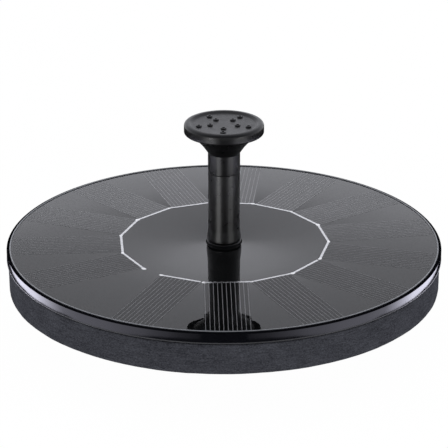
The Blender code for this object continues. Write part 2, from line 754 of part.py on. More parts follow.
def spray_disc():
    """Cap over the trumpet's mouth, with a dished top and two rings of jet holes."""
    skirt = HEAD_RADIUS - 1.1
    roof_under = MOUTH_TOP + GAP
    dish = HEAD_TOP - 0.7
    disc = turned("spray_disc", SATIN_BLACK, [
        (0.0, dish),
        (12.1, dish),
        (12.9, HEAD_TOP - 0.1),
        (13.3, HEAD_TOP),
        (14.1, HEAD_TOP - 0.35),
        (HEAD_RADIUS, HEAD_TOP - 1.1),
        (HEAD_RADIUS, HEAD_BOTTOM + 0.5),
        (HEAD_RADIUS - 0.4, HEAD_BOTTOM),
        (skirt, HEAD_BOTTOM),
        (skirt, roof_under),
        (0.0, roof_under),
    ], 48)
    holes = []
    for radius in (OUTER_JETS, INNER_JETS):
        for index in range(JETS_PER_RING):
            turn = JET_ANGLE + math.tau * index / JETS_PER_RING
            place = (radius * math.cos(turn), radius * math.sin(turn), 0)
            holes.append(drum("jet", None, JET_HOLE, roof_under - 1, dish + 1, 10, place))
    return cut(disc, several("jet_holes", holes))


def build():
    """Make every part."""
    deck_tray()
    panel_cover()
    backing_board()
    solar_cells()
    cell_ribbon()
    float_ring()
    pump_head()
    chamber_cover()
    chamber_o_ring()
    filter_cover()
    filter_sponge()
    motor_housing()
    rear_cap()
    rotor_can()
    stator_core()
    stator_coils()
    electronics()
    shaft_and_bushes()
    rotor()
    mount_screws()
    lead("lead_red", RED_WIRE, -1)
    lead("lead_black", BLACK_WIRE, 1)
    lead_grommet()
    riser_tube()
    nozzle_trumpet()
    spray_disc()
    for part in PARTS.objects:
        if part.type == "MESH" and not part.modifiers:
            smooth(part)


build()
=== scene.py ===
import json
import math

import bmesh
import bpy
from mathutils import Matrix, Vector, noise


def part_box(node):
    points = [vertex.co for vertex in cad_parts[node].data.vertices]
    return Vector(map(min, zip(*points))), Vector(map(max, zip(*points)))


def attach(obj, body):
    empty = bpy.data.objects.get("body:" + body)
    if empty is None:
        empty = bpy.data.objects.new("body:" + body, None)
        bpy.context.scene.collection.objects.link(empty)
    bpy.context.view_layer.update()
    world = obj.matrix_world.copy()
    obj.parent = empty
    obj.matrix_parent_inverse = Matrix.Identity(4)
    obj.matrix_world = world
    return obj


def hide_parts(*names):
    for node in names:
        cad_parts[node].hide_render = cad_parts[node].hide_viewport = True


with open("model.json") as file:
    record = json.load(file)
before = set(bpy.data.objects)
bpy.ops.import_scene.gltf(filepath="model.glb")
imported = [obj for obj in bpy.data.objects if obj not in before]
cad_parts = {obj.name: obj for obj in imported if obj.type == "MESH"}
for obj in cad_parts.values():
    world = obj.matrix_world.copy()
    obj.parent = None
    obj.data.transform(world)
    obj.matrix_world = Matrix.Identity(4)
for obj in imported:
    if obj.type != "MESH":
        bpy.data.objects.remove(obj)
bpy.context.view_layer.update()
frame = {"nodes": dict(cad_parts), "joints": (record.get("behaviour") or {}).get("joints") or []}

MM = 0.001
RING_STEPS = 240
TUBE_STEPS = 96


# Numbers read from the frame -------------------------------------------------

def top(node):
    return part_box(node)[1].z


def bottom(node):
    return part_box(node)[0].z


def centre_of(node):
    return (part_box(node)[0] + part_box(node)[1]) / 2


def reach(node):
    """Radius of a piece that is round about the Z axis."""
    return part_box(node)[1].x


RIM_RADIUS = reach("deck_tray")
PANEL_TOP = top("deck_tray")
TRAY_BOTTOM = top("float_ring") + 0.3 * MM
COVER_RADIUS = reach("panel_cover")
PUMP_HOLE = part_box("pump_head")[1].y + 0.35 * MM
SCREWS = [centre_of(f"mount_screw_{i}") for i in range(1, 5)]
CELL_COUNT = sum(1 for node in frame["nodes"] if node.startswith("solar_cell_"))
JOINTS = {joint["name"]: joint for joint in frame["joints"]}
MOTOR_AXIS = Vector(JOINTS["impeller_spin"]["pos_m"])

# Driving dimensions ----------------------------------------------------------

BONDED = PANEL_TOP - 0.14 * MM  # the level of the layers that are bonded under the cover
DOME_SLOPE = 0.047  # how far the cover's gloss tilts outwards at its edge
CELL_PITCH = math.radians(24.8)
CELL_TURN = math.radians(-1.0)
CELL_EDGE_GAP = 0.9 * MM
GAP_ANGLE = math.radians(228.5)
RIBBON_RADIUS = 38.6 * MM
RIBBON_BREAKS = (0, 3, 8)
FLOAT_HOLE = 46.0 * MM
JET_RINGS = (9.4 * MM, 5.2 * MM)
JETS_PER_RING = 5
PUMP_CORNER = 5 * MM
FITTINGS = bpy.data.collections.new("fittings")  # the pieces that the softboxes light


def cell_angle(index):
    """Direction of a cell's middle line; the ribbon's gap lies opposite the middle of the row."""
    return GAP_ANGLE + math.pi + (index - (CELL_COUNT - 1) / 2) * CELL_PITCH


# Material kit ----------------------------------------------------------------

def map_range(tree, source, low, high, into_low, into_high):
    """Carry the range low to high of a value over to another range, and stop at its ends."""
    node = tree.nodes.new("ShaderNodeMapRange")
    ends = {"From Min": low, "From Max": high, "To Min": into_low, "To Max": into_high}
    for key, value in ends.items():
        node.inputs[key].default_value = value
    tree.links.new(source, node.inputs["Value"])
    return node.outputs["Result"]


class Recipe:
    """A material's node tree, with short calls for the nodes that the recipes here use."""

    def __init__(self, name):
        self.material = bpy.data.materials.new(name)
        self.material.use_nodes = True
        self.tree = self.material.node_tree
        self.shader = self.tree.nodes["Principled BSDF"]
        self.output = self.tree.nodes["Material Output"]
        self.place = None

    def add(self, kind, **settings):
        node = self.tree.nodes.new(kind)
        for key, value in settings.items():
            setattr(node, key, value)
        return node

    def link(self, source, target):
        self.tree.links.new(source, target)

    def set(self, **values):
        for key, value in values.items():
            self.shader.inputs[key.replace("_", " ")].default_value = value
        return self

    def coordinates(self, stretch=(1.0, 1.0, 1.0)):
        """Object coordinates, stretched along the axes."""
        if self.place is None:
            self.place = self.add("ShaderNodeTexCoord")
        mapping = self.add("ShaderNodeMapping")
        mapping.inputs["Scale"].default_value = stretch
        self.link(self.place.outputs["Object"], mapping.inputs["Vector"])
        return mapping.outputs["Vector"]

    def noise(self, size, detail=3.0, stretch=(1.0, 1.0, 1.0), roughness=0.55):
        """Noise whose features are about size metres across."""
        node = self.add("ShaderNodeTexNoise")
        node.inputs["Scale"].default_value = 1.0 / size
        node.inputs["Detail"].default_value = detail
        node.inputs["Roughness"].default_value = roughness
        self.link(self.coordinates(stretch), node.inputs["Vector"])
        return node.outputs["Fac"]

    def cells(self, size, stretch=(1.0, 1.0, 1.0)):
        """Rounded cells about size metres across."""
        node = self.add("ShaderNodeTexVoronoi")
        node.inputs["Scale"].default_value = 1.0 / size
        self.link(self.coordinates(stretch), node.inputs["Vector"])
        return node.outputs["Distance"]

    def bands(self, size, axis, distortion=0.0):
        node = self.add("ShaderNodeTexWave", wave_type="BANDS", bands_direction=axis)
        node.inputs["Scale"].default_value = math.pi / (10.0 * size)
        node.inputs["Distortion"].default_value = distortion
        self.link(self.coordinates(), node.inputs["Vector"])
        return node.outputs["Fac"]

    def remap(self, source, low, high, into_low, into_high):
        return map_range(self.tree, source, low, high, into_low, into_high)

    def blend(self, source, dark, light, low=0.3, high=0.7):
        """Colour between dark and light, led by a pattern."""
        ramp = self.add("ShaderNodeValToRGB")
        ramp.color_ramp.elements[0].position = low
        ramp.color_ramp.elements[0].color = (*dark, 1.0)
        ramp.color_ramp.elements[1].position = high
        ramp.color_ramp.elements[1].color = (*light, 1.0)
        self.link(source, ramp.inputs["Fac"])
        return ramp.outputs["Color"]

    def colour(self, source, dark, light, low=0.3, high=0.7):
        self.link(self.blend(source, dark, light, low, high), self.shader.inputs["Base Color"])
        return self

    def rough(self, source, low, high):
        self.link(self.remap(source, 0.25, 0.75, low, high), self.shader.inputs["Roughness"])
        return self

    def bump(self, *layers):
        """Bump layers, each (pattern, depth in metres), on top of any bump that is there."""
        links = self.shader.inputs["Normal"].links
        normal = links[0].from_socket if links else None
        for pattern, depth in layers:
            node = self.add("ShaderNodeBump")
            node.inputs["Distance"].default_value = depth
            self.link(pattern, node.inputs["Height"])
            if normal is not None:
                self.link(normal, node.inputs["Normal"])
            normal = node.outputs["Normal"]
        self.link(normal, self.shader.inputs["Normal"])
        return self


def scaled(colour, factor):
    return tuple(channel * factor for channel in colour)


def moulded_plastic(name, colour, roughness, grain, depth, spread=0.06, specular=0.5):
    """Injection-moulded plastic: a fine spark-eroded grain and faint flow marks."""
    made = Recipe(name).set(Specular_IOR_Level=specular)
    flow = made.noise(9 * MM, 2.0)
    fine = made.noise(grain, 4.0)
    made.colour(flow, scaled(colour, 0.85), scaled(colour, 1.18))
    made.rough(made.noise(2.2 * MM, 3.0), roughness - spread, roughness + spread)
    made.bump((fine, depth), (flow, depth * 0.8))
    return made.material


def matt_lip():
    """Etched lip of the rim, which hardly mirrors anything."""
    made = Recipe("matt_lip_plastic").set(Specular_IOR_Level=0.0)
    made.colour(made.noise(7 * MM), (0.0038, 0.0039, 0.0052), (0.0058, 0.0060, 0.0078))
    made.rough(made.noise(0.8 * MM), 0.42, 0.56)
    made.bump((made.noise(0.3 * MM), 0.004 * MM))
    return made.material


def clear_cover():
    """Bonded clear cover. It lets everything through; the layer bonded to it carries its gloss."""
    made = Recipe("clear_cover").set(Alpha=0.0, Roughness=0.02)
    made.colour(made.noise(14 * MM, 3.0), (0.93, 0.94, 0.95), (0.97, 0.98, 0.98))
    return made.material


def under_cover(made):
    """The gloss of the clear cover over a surface bonded to it: slightly crowned and rippled."""
    flat = made.add("ShaderNodeVectorMath", operation="MULTIPLY")
    flat.inputs[1].default_value = (1.0, 1.0, 0.0)
    made.link(made.coordinates(), flat.inputs[0])
    square = made.add("ShaderNodeVectorMath", operation="DOT_PRODUCT")
    made.link(flat.outputs["Vector"], square.inputs[0])
    made.link(flat.outputs["Vector"], square.inputs[1])
    dome = made.add("ShaderNodeMath", operation="MULTIPLY")
    dome.inputs[1].default_value = -DOME_SLOPE / (2 * COVER_RADIUS)
    made.link(square.outputs["Value"], dome.inputs[0])
    made.bump((dome.outputs["Value"], 1.0), (made.noise(30 * MM, 1.0), 0.02 * MM))
    made.link(made.remap(made.noise(14 * MM, 3.0), 0.3, 0.7, 0.012, 0.03), made.shader.inputs["Roughness"])
    return made.material


def silicon():
    """Monocrystalline cell: near black, with a colour that drifts over the wafer."""
    made = Recipe("silicon_wafer").set(Specular_IOR_Level=0.38)
    made.colour(made.noise(26 * MM, 2.0), (0.0026, 0.0028, 0.0030), (0.0042, 0.0045, 0.0048))
    return under_cover(made)


def backing():
    made = Recipe("black_backsheet")
    made.colour(made.noise(18 * MM, 3.0), (0.0030, 0.0032, 0.0034), (0.0046, 0.0049, 0.0052))
    return under_cover(made)


def printed_silver():
    made = Recipe("silver_finger")
    made.colour(made.noise(1.5 * MM, 4.0), (0.145, 0.145, 0.15), (0.195, 0.195, 0.20))
    return under_cover(made)


def tinned(name, dark, light, roughness, grain, depth):
    """Tinned copper ribbon or solder, with a dull, slightly lumpy skin."""
    made = Recipe(name).set(Metallic=1.0, Coat_Weight=1.0, Coat_Roughness=0.03)
    lumps = made.noise(grain, 3.0)
    made.colour(lumps, dark, light)
    made.rough(lumps, roughness - 0.08, roughness + 0.08)
    made.bump((lumps, depth))
    return made.material


def foam():
    """Closed-cell foam, cut on a knife: fine pores drawn out along the cut, and faint cloudiness."""
    made = Recipe("closed_cell_foam").set(Specular_IOR_Level=0.0)
    cloud = made.noise(8 * MM, 3.0)
    grain = made.noise(0.5 * MM, 3.0, (0.8, 0.8, 1.5), 0.8)
    streak = made.noise(5 * MM, 2.0, (1.0, 1.0, 9.0), 0.6)
    pores = made.cells(0.5 * MM, (1.0, 1.0, 1.5))
    tone = made.add("ShaderNodeMath", operation="MULTIPLY_ADD")
    made.link(grain, tone.inputs[0])
    tone.inputs[1].default_value = 0.68
    made.link(made.remap(cloud, 0.3, 0.7, 0.01, 0.07), tone.inputs[2])
    mixed = made.add("ShaderNodeMath", operation="MULTIPLY_ADD")
    made.link(streak, mixed.inputs[0])
    mixed.inputs[1].default_value = 0.22
    made.link(tone.outputs["Value"], mixed.inputs[2])
    made.colour(mixed.outputs["Value"], (0.018, 0.0185, 0.023), (0.118, 0.122, 0.142), 0.33, 0.67)
    made.rough(grain, 0.80, 0.95)
    made.bump((pores, 0.08 * MM), (grain, 0.10 * MM))
    return made.material


def sponge():
    """Open-cell filter sponge."""
    made = Recipe("open_cell_sponge").set(Specular_IOR_Level=0.2, Sheen_Weight=0.3)
    pores = made.cells(0.9 * MM)
    made.colour(pores, (0.008, 0.008, 0.010), (0.055, 0.056, 0.062), 0.1, 0.6)
    made.rough(pores, 0.85, 1.0)
    made.bump((pores, 0.4 * MM))
    return made.material


def banded(name, dark, light, size, axis, metallic, roughness):
    """Stacked or wound metal: even bands along one axis."""
    made = Recipe(name).set(Metallic=metallic)
    lines = made.bands(size, axis, 0.4)
    made.colour(lines, dark, light, 0.2, 0.8)
    made.rough(made.noise(0.8 * MM), roughness - 0.05, roughness + 0.1)
    made.bump((lines, size * 0.5))
    return made.material


def brushed_screw():
    made = Recipe("zinc_screw").set(Metallic=1.0)
    cloud = made.noise(1.2 * MM, 4.0)
    made.colour(cloud, (0.42, 0.42, 0.43), (0.66, 0.66, 0.67))
    made.rough(cloud, 0.22, 0.38)
    made.bump((made.noise(0.12 * MM, 2.0), 0.01 * MM))
    return made.material


def speckled(name, dark, light, roughness, grain, metallic=0.0):
    """Sintered, cast or rubber surfaces: a fine two-tone speckle with a little relief."""
    made = Recipe(name).set(Metallic=metallic)
    speck = made.noise(grain, 4.0)
    made.colour(speck, dark, light)
    made.rough(speck, roughness - 0.06, roughness + 0.06)
    made.bump((speck, 0.03 * MM))
    return made.material


def circuit():
    """Solder-masked board with tracks."""
    made = Recipe("solder_mask").set(Coat_Weight=0.4, Coat_Roughness=0.15)
    tracks = made.add("ShaderNodeTexBrick")
    tracks.inputs["Scale"].default_value = 240.0
    tracks.inputs["Color1"].default_value = (0.010, 0.085, 0.030, 1.0)
    tracks.inputs["Color2"].default_value = (0.014, 0.110, 0.040, 1.0)
    tracks.inputs["Mortar"].default_value = (0.030, 0.190, 0.070, 1.0)
    made.link(made.coordinates(), tracks.inputs["Vector"])
    made.link(tracks.outputs["Color"], made.shader.inputs["Base Color"])
    made.rough(made.noise(1 * MM), 0.35, 0.5)
    return made.material


LOOKS = {
    "rim": moulded_plastic("gloss_rim_plastic", (0.0052, 0.0054, 0.0075), 0.10, 0.9 * MM, 0.002 * MM,
                           spread=0.02),
    "lip": matt_lip(),
    # painted highlight: the bead at the rim's foot is paler than the rim to stand in for the light along
    # its step
    "bead": moulded_plastic("painted_highlight_bead", (0.065, 0.066, 0.071), 0.34, 0.4 * MM, 0.004 * MM),
    # painted highlight: the pale colour of the cover's edge ring stands in for the light it catches
    "edge": moulded_plastic("painted_highlight_edge", (0.31, 0.32, 0.335), 0.35, 0.4 * MM, 0.004 * MM, spread=0.05),
    "fitting": moulded_plastic("satin_fitting_plastic", (0.0055, 0.0055, 0.0062), 0.31, 0.22 * MM,
                               0.008 * MM),
    "head": moulded_plastic("satin_head_plastic", (0.0055, 0.0055, 0.0064), 0.31, 0.22 * MM,
                            0.008 * MM, specular=0.40),
    "pump": moulded_plastic("satin_pump_plastic", (0.010, 0.010, 0.011), 0.42, 0.28 * MM, 0.014 * MM),
    "impeller": moulded_plastic("impeller_plastic", (0.030, 0.030, 0.034), 0.38, 0.2 * MM, 0.01 * MM),
    "cover": clear_cover(),
    "silicon": silicon(),
    "backing": backing(),
    "ribbon": tinned("tinned_ribbon", (0.52, 0.52, 0.53), (0.72, 0.72, 0.73), 0.24, 1.4 * MM,
                     0.01 * MM),
    "solder": tinned("solder", (0.90, 0.90, 0.90), (0.96, 0.96, 0.96), 0.45, 0.5 * MM, 0.03 * MM),
    "finger": printed_silver(),
    "foam": foam(),
    "sponge": sponge(),
    "rubber": speckled("rubber", (0.012, 0.012, 0.012), (0.026, 0.026, 0.026), 0.65, 0.3 * MM),
    "magnet": speckled("sintered_ferrite", (0.030, 0.029, 0.028), (0.070, 0.068, 0.066), 0.45,
                       0.4 * MM, metallic=0.3),
    "ceramic": speckled("ceramic", (0.78, 0.77, 0.73), (0.88, 0.87, 0.84), 0.22, 0.5 * MM),
    "chip": speckled("chip_epoxy", (0.010, 0.010, 0.010), (0.022, 0.022, 0.022), 0.5, 0.2 * MM),
    "steel": banded("laminated_steel", (0.16, 0.16, 0.17), (0.42, 0.42, 0.43), 0.5 * MM, "Y", 1.0, 0.4),
    "copper": banded("enamelled_copper", (0.30, 0.10, 0.04), (0.78, 0.33, 0.15), 0.28 * MM, "DIAGONAL",
                     1.0, 0.3),
    "screw": brushed_screw(),
    "circuit": circuit(),
    "red": speckled("red_insulation", (0.38, 0.012, 0.012), (0.52, 0.022, 0.020), 0.4, 0.6 * MM),
    "black": speckled("black_insulation", (0.010, 0.010, 0.010), (0.020, 0.020, 0.020), 0.4, 0.6 * MM),
}

CARRIED_OVER = {
    "chamber_cover": "pump", "rotor_can": "pump", "impeller": "impeller",
    "chamber_o_ring": "rubber", "front_bush": "rubber", "rear_bush": "rubber", "lead_grommet": "rubber",
    "rotor_magnet": "magnet", "shaft": "ceramic", "thrust_washer": "ceramic", "stator_core": "steel",
    "driver_board": "circuit", "driver_chip": "chip", "hall_sensor": "chip",
    "lead_red": "red", "lead_black": "black",
}


def dress_cad_nodes():
    """Give every CAD node that stays its finished material."""
    for node, part in frame["nodes"].items():
        look = CARRIED_OVER.get(node)
        if node.startswith("stator_coil_"):
            look = "copper"
        if look:
            part.data.materials.clear()
            part.data.materials.append(LOOKS[look])


# Mesh kit --------------------------------------------------------------------

def filleted(corners, segments=5):
    """Profile points from (radius, height[, fillet]) corners, each fillet an arc."""
    points = []
    count = len(corners)
    for index, corner in enumerate(corners):
        here = Vector(corner[:2])
        fillet = corner[2] if len(corner) > 2 else 0.0
        if not fillet:
            points.append(here)
            continue
        before = (Vector(corners[index - 1][:2]) - here).normalized()
        after = (Vector(corners[(index + 1) % count][:2]) - here).normalized()
        half = before.angle(after) / 2
        setback = fillet / math.tan(half)
        centre = here + (before + after).normalized() * fillet / math.sin(half)
        start = here + before * setback - centre
        sweep = start.angle_signed(here + after * setback - centre)
        for step in range(segments + 1):
            turn = -sweep * step / segments
            points.append(centre + Matrix.Rotation(turn, 2) @ start)
    return [(point.x, point.y) for point in points]


def piece_from(shape, name, look, crease=35.0):
    """Make an object from a bmesh, shaded smooth between creases."""
    bmesh.ops.recalc_face_normals(shape, faces=shape.faces)
    mesh = bpy.data.meshes.new(name)
    shape.to_mesh(mesh)
    shape.free()
    if look:
        mesh.materials.append(LOOKS[look])
    mesh.shade_smooth()
    mesh.set_sharp_from_angle(angle=math.radians(crease))
    made = bpy.data.objects.new(name, mesh)
    bpy.context.scene.collection.objects.link(made)
    return made


def lathe_mesh(profile, steps, closed):
    """Spin (radius, height) points about Z. A closed profile makes a ring."""
    shape = bmesh.new()
    rows = []
    for radius, height in profile:
        if radius < 1e-7:
            rows.append([shape.verts.new((0.0, 0.0, height))] * steps)
            continue
        rows.append([shape.verts.new((radius * math.cos(math.tau * i / steps),
                                      radius * math.sin(math.tau * i / steps), height))
                     for i in range(steps)])
    pairs = list(zip(rows, rows[1:]))
    if closed:
        pairs.append((rows[-1], rows[0]))
    for upper, lower in pairs:
        for i in range(steps):
            j = (i + 1) % steps
            corners = []
            for vertex in (upper[i], lower[i], lower[j], upper[j]):
                if vertex not in corners:
                    corners.append(vertex)
            if len(corners) > 2:
                shape.faces.new(corners)
    return shape


def lathe(name, look, corners, steps=TUBE_STEPS, closed=True, segments=5, crease=35.0):
    return piece_from(lathe_mesh(filleted(corners, segments), steps, closed), name, look, crease)


def rod(name, radius, low, high, place=(0.0, 0.0), steps=24):
    """A plain upright cylinder, used as a tool for cuts and joins."""
    shape = bmesh.new()
    middle = Matrix.Translation((place[0], place[1], (low + high) / 2))
    bmesh.ops.create_cone(shape, cap_ends=True, segments=steps, radius1=radius, radius2=radius,
                          depth=high - low, matrix=middle)
    return piece_from(shape, name, None)


def soft_block(name, look, low, high, corner=0.0, along="Y", ease=0.0, segments=6):
    """A box with four rounded long edges and all its other edges eased."""
    low, high = Vector(low), Vector(high)
    axis = "XYZ".index(along)
    shape = bmesh.new()
    bmesh.ops.create_cube(shape, size=1.0)
    bmesh.ops.scale(shape, vec=high - low, verts=shape.verts)
    bmesh.ops.translate(shape, vec=(high + low) / 2, verts=shape.verts)
    if corner:
        long_edges = [edge for edge in shape.edges
                      if abs((edge.verts[1].co - edge.verts[0].co).normalized()[axis]) > 0.99]
        bmesh.ops.bevel(shape, geom=long_edges, offset=corner, segments=segments, profile=0.5,
                        affect="EDGES")
    if ease:
        sharp = [edge for edge in shape.edges if edge.calc_face_angle(0.0) > math.radians(40)]
        bmesh.ops.bevel(shape, geom=sharp, offset=ease, segments=2, profile=0.5, affect="EDGES")
    return piece_from(shape, name, look)


def merged(name, pieces):
    """Put several tool objects into one."""
    shape = bmesh.new()
    for piece in pieces:
        piece.data.transform(piece.matrix_basis)
        shape.from_mesh(piece.data)
        discard(piece)
    return piece_from(shape, name, None)


def discard(piece):
    mesh = piece.data
    bpy.data.objects.remove(piece, do_unlink=True)
    bpy.data.meshes.remove(mesh)


def carve(piece, tool, operation="DIFFERENCE"):
    """Apply one exact Boolean and drop the tool."""
    change = piece.modifiers.new("carve", "BOOLEAN")
    change.operation = operation
    change.solver = "EXACT"
    change.object = tool
    graph = bpy.context.evaluated_depsgraph_get()
    result = bpy.data.meshes.new_from_object(piece.evaluated_get(graph))
    piece.modifiers.remove(change)
    old = piece.data
    piece.data = result
    result.name = piece.name
    bpy.data.meshes.remove(old)
    discard(tool)
    return piece


def fuse(piece, tool):
    return carve(piece, tool, "UNION")


def keep_look(piece, look, crease=35.0):
    """Restore one material and the shading after Booleans."""
    piece.data.materials.clear()
    piece.data.materials.append(LOOKS[look])
    for face in piece.data.polygons:
        face.material_index = 0
    piece.data.shade_smooth()
    piece.data.set_sharp_from_angle(angle=math.radians(crease))
    return piece


def ease_edges(piece, width, degrees=40.0, segments=2):
    """A small bevel on every sharp edge of a finished shape."""
    bevel = piece.modifiers.new("ease", "BEVEL")
    bevel.width = width
    bevel.segments = segments
    bevel.limit_method = "ANGLE"
    bevel.angle_limit = math.radians(degrees)
    bevel.use_clamp_overlap = True
    bevel.harden_normals = False
    return piece


def settle(piece, body, slot, *nodes):
    """Attach a finished piece to the body it rides on, and hide the CAD nodes it stands for.

    The softboxes light the pieces of the fittings' finish.
    """
    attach(piece, body)
    if slot == "fitting_plastic":
        FITTINGS.objects.link(piece)
    if nodes:
        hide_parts(*nodes)
    return piece


# Panel -----------------------------------------------------------------------

def tray():
    """Gloss tray: rim with a rounded lip and a bead at its foot, floor, skirt, ribs and bosses."""
    inner = COVER_RADIUS + 0.2 * MM
    floor_top = bottom("backing_board") - 0.2 * MM
    skirt_outer = FLOAT_HOLE - 0.8 * MM
    skirt_inner = skirt_outer - 1.2 * MM
    skirt_low = bottom("deck_tray")
    bead = 0.06 * MM
    lip_depth = 0.62 * MM
    rib_count = 12
    shell = lathe("tray_shell", "rim", [
        (inner, PANEL_TOP - 0.12 * MM, 0.08 * MM),
        (RIM_RADIUS - bead, PANEL_TOP - 0.08 * MM, 0.45 * MM),
        (RIM_RADIUS - bead, TRAY_BOTTOM + 0.50 * MM, 0.1 * MM),
        (RIM_RADIUS, TRAY_BOTTOM + 0.40 * MM, 0.05 * MM),
        (RIM_RADIUS, TRAY_BOTTOM + 0.02 * MM, 0.12 * MM),
        (RIM_RADIUS - 1.2 * MM, TRAY_BOTTOM, 0.1 * MM),
        (skirt_outer, TRAY_BOTTOM, 0.3 * MM),
        (skirt_outer, skirt_low, 0.3 * MM),
        (skirt_inner, skirt_low, 0.3 * MM),
        (skirt_inner, TRAY_BOTTOM, 0.4 * MM),
        (PUMP_HOLE, TRAY_BOTTOM, 0.1 * MM),
        (PUMP_HOLE, floor_top, 0.1 * MM),
        (inner, floor_top),
    ], RING_STEPS)
    extras = [rod("boss", 3.0 * MM, skirt_low, TRAY_BOTTOM + 0.4 * MM, (spot.x, spot.y), 32)
              for spot in SCREWS]
    for index in range(rib_count):
        rib = soft_block("rib", None, (PUMP_HOLE + 2 * MM, -0.5 * MM, TRAY_BOTTOM - 1.0 * MM),
                         (skirt_inner + 0.5 * MM, 0.5 * MM, TRAY_BOTTOM + 0.4 * MM))
        rib.data.transform(Matrix.Rotation(math.tau * index / rib_count, 4, "Z"))
        extras.append(rib)
    for extra in extras:
        fuse(shell, extra)
    holes = [rod("hole", 1.5 * MM, skirt_low - 1 * MM, TRAY_BOTTOM - 0.6 * MM, (spot.x, spot.y))
             for spot in SCREWS]
    grommet = centre_of("lead_grommet")
    holes.append(rod("lead_hole", 2.8 * MM, TRAY_BOTTOM - 2 * MM, floor_top + 1 * MM,
                     (grommet.x, grommet.y)))
    carve(shell, merged("holes", holes))
    keep_look(shell, "rim")
    shell.data.materials.append(LOOKS["lip"])
    shell.data.materials.append(LOOKS["bead"])
    for face in shell.data.polygons:
        radius = face.center.xy.length
        if radius < COVER_RADIUS:
            continue
        if face.center.z > PANEL_TOP - lip_depth:
            face.material_index = 1
        # the bead's faces take the pale colour of the painted highlight
        elif radius > RIM_RADIUS - 0.9 * bead and face.center.z < TRAY_BOTTOM + 0.45 * MM:
            face.material_index = 2
    return settle(shell, "root", "tray", "deck_tray")


def cover():
    """Clear disc with an eased edge round its hole."""
    low, high = BONDED + 0.09 * MM, top("panel_cover")
    disc = lathe("cover_disc", "cover", [
        (PUMP_HOLE, high, 0.04 * MM),
        (COVER_RADIUS, high),
        (COVER_RADIUS, low),
        (PUMP_HOLE, low),
    ], RING_STEPS, crease=25.0)
    disc.visible_shadow = False
    return settle(disc, "root", "clear_cover", "panel_cover")


def backsheet():
    """Black sheet and board bonded under the cover, which shows between the cells."""
    low, high = bottom("backing_board"), BONDED - 0.03 * MM
    sheet = lathe("backsheet", "backing", [
        (PUMP_HOLE, high, 0.2 * MM),
        (COVER_RADIUS - 0.02 * MM, high),
        (COVER_RADIUS - 0.02 * MM, low),
        (PUMP_HOLE, low),
    ], RING_STEPS)
    return settle(sheet, "root", "backing_board", "backing_board")


def wafers():
    """Silicon cells: straight bars with clipped outer corners, bonded under the cover."""
    clip = 1.2 * MM
    inner = RIBBON_RADIUS * math.cos(CELL_PITCH / 2) - 0.7 * MM
    half = inner * math.tan(CELL_PITCH / 2) - 0.15 * MM
    outer = math.sqrt((COVER_RADIUS - CELL_EDGE_GAP) ** 2 - half ** 2)
    outline = [(inner, -half), (outer - clip, -half), (outer, clip - half), (outer, half - clip),
               (outer - clip, half), (inner, half)]
    for index in range(CELL_COUNT):
        shape = bmesh.new()
        upper = [shape.verts.new((x, y, BONDED - 0.01 * MM)) for x, y in outline]
        lower = [shape.verts.new((x, y, BONDED - 0.26 * MM)) for x, y in outline]
        shape.faces.new(upper)
        shape.faces.new(lower)
        for i in range(len(outline)):
            j = (i + 1) % len(outline)
            shape.faces.new((upper[i], upper[j], lower[j], lower[i]))
        bmesh.ops.rotate(shape, verts=shape.verts, cent=(0, 0, 0),
                         matrix=Matrix.Rotation(cell_angle(index) + CELL_TURN, 3, "Z"))
        wafer = piece_from(shape, f"wafer_{index + 1:02d}", "silicon")
        settle(wafer, "root", "solar_cell", f"solar_cell_{index + 1:02d}")


def cover_edge():
    """The eased edge of the clear disc, whose pale colour is a painted highlight: it shows as a thin bright
    line.
    """
    high = top("panel_cover")
    outer = COVER_RADIUS + 0.02 * MM
    ring = lathe("cover_edge", "edge", [
        (outer - 0.32 * MM, high + 0.10 * MM, 0.10 * MM),
        (outer + 0.10 * MM, high + 0.10 * MM, 0.10 * MM),
        (outer + 0.10 * MM, high - 0.4 * MM),
        (outer - 0.32 * MM, high - 0.4 * MM),
    ], RING_STEPS, crease=60.0)
    return settle(ring, "root", "clear_cover")


def strip_between(shape, start, end, width, low, high, shoulder=0.25):
    """Add a straight strip with sloping sides between two points seen from above."""
    run = end - start
    across = Vector((-run.y, run.x)).normalized() * width / 2
    rows = []
    for point in (start, end):
        rows.append([shape.verts.new((*(point + across * side), height)) for side, height in (
            (-1.0, low), (shoulder - 1.0, high), (1.0 - shoulder, high), (1.0, low))])
    for i in range(4):
        j = (i + 1) % 4
        shape.faces.new((rows[0][i], rows[0][j], rows[1][j], rows[1][i]))
    shape.faces.new(rows[0])
    shape.faces.new(rows[1])


def fingers():
    """Printed silver lines on each cell, parallel to its long side."""
    low, high = BONDED - 0.05 * MM, BONDED + 0.01 * MM
    inner = RIBBON_RADIUS * math.cos(CELL_PITCH / 2) - 0.4 * MM
    outer = COVER_RADIUS - CELL_EDGE_GAP
    lines = 11
    pitch = 1.52 * MM
    width = 0.34 * MM
    for index in range(CELL_COUNT):
        shape = bmesh.new()
        for line in range(lines):
            side = (line - (lines - 1) / 2) * pitch
            end = math.sqrt(outer ** 2 - side ** 2)
            strip_between(shape, Vector((inner, side)), Vector((end, side)), width, low, high, 0.5)
        bmesh.ops.rotate(shape, verts=shape.verts, cent=(0, 0, 0),
                         matrix=Matrix.Rotation(cell_angle(index) + CELL_TURN, 3, "Z"))
        settle(piece_from(shape, f"cell_fingers_{index + 1:02d}", "finger"), "root", "ribbon")


